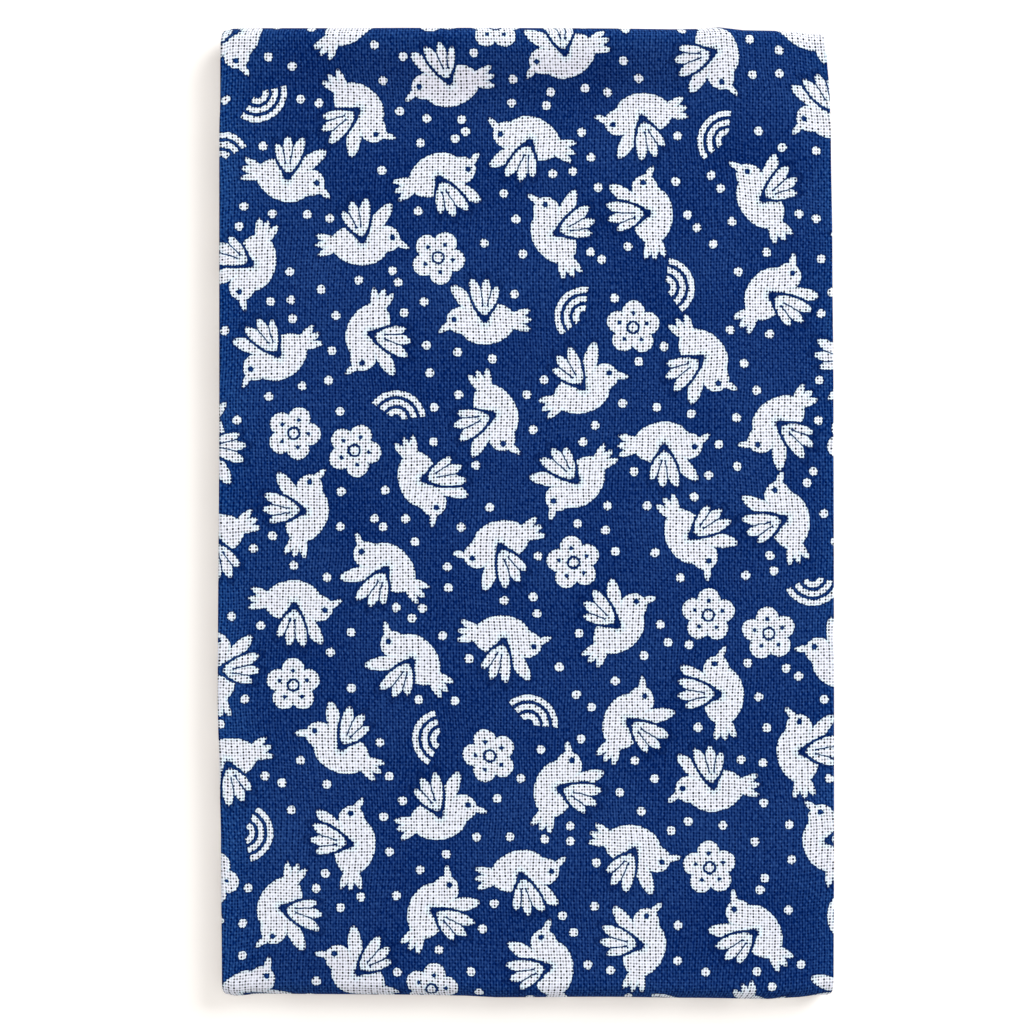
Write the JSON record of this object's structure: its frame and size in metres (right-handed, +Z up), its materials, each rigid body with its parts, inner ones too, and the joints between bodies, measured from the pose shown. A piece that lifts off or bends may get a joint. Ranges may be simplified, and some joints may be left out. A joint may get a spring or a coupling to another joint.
{
  "type": "folded tenugui towel",
  "caption": "Thin cotton hand towel, folded flat into a slim rectangle: a strip of plies wrapped to and fro, with rounded folds at both ends.",
  "frame": {"origin": "under the middle of the folded towel's outline, on the surface that it lies on", "axes": "+Z up out of the top panel, +Y along the folded towel's length, +X across it"},
  "size_m": [0.1142, 0.18, 0.007],
  "materials": {
    "printed_cotton": "matt plain-weave cotton, indigo ground with a reserved white print"
  },
  "bodies": {
    "root": {"folded_cloth": "printed_cotton"}
  },
  "joints": []
}
